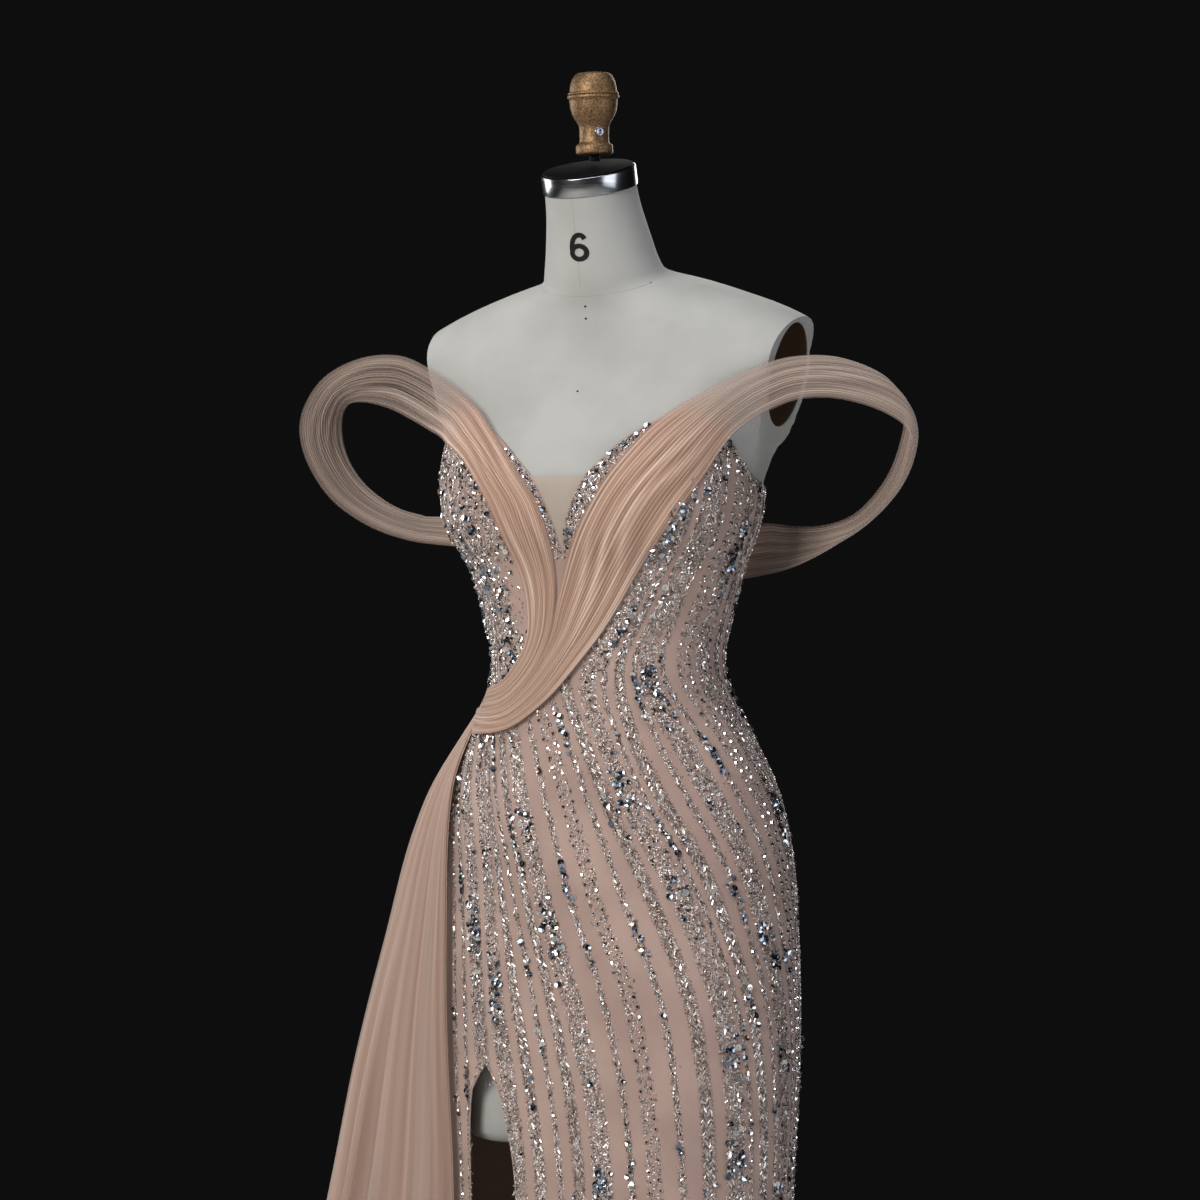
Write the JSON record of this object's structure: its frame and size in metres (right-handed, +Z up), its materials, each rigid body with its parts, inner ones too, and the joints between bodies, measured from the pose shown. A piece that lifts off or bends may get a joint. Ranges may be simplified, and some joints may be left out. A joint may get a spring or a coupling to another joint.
{
  "type": "evening gown on a dress form",
  "caption": "Strapless beaded tulle gown with pleated sash loops, side train and thigh slit, worn on a limbless dress form on a round stand.",
  "frame": {"origin": "on the floor, in the middle of the round base's underside", "axes": "+Z up, -Y the gown's front, +X the wearer's left"},
  "size_m": [0.7717, 0.42, 1.6408],
  "materials": {
    "beaded_tulle": "blush tulle over nude knit, closely beaded",
    "nude_mesh": "fine nude stretch mesh",
    "sash_tulle": "pleated blush tulle",
    "train_tulle": "sheer soft tulle",
    "zip_nylon": "nylon coil",
    "form_cloth": "off-white linen over a hard shell",
    "arm_plate": "dark brown, satin",
    "polished_steel": "polished",
    "black_plate": "satin black",
    "gold_paint": "gold paint on a casting",
    "stand_steel": "satin steel"
  },
  "bodies": {
    "root": {"gown_front": "beaded_tulle", "gown_side_front_right": "beaded_tulle", "gown_back_left": "beaded_tulle", "gown_back_right": "beaded_tulle", "plunge_mesh": "nude_mesh", "sash_left": "sash_tulle", "sash_right": "sash_tulle", "train_outer": "train_tulle", "train_inner": "train_tulle", "zip_coil": "zip_nylon", "zip_slider": "zip_nylon", "dress_form": "form_cloth", "arm_plate_right": "arm_plate", "arm_plate_left": "arm_plate", "neck_cap_ring": "polished_steel", "neck_cap_plate": "black_plate", "knob_stem": "black_plate", "knob_bowl": "gold_paint", "knob_dome": "gold_paint", "knob_set_screw": "stand_steel", "stand_base": "stand_steel", "stand_pole": "stand_steel"}
  },
  "joints": []
}
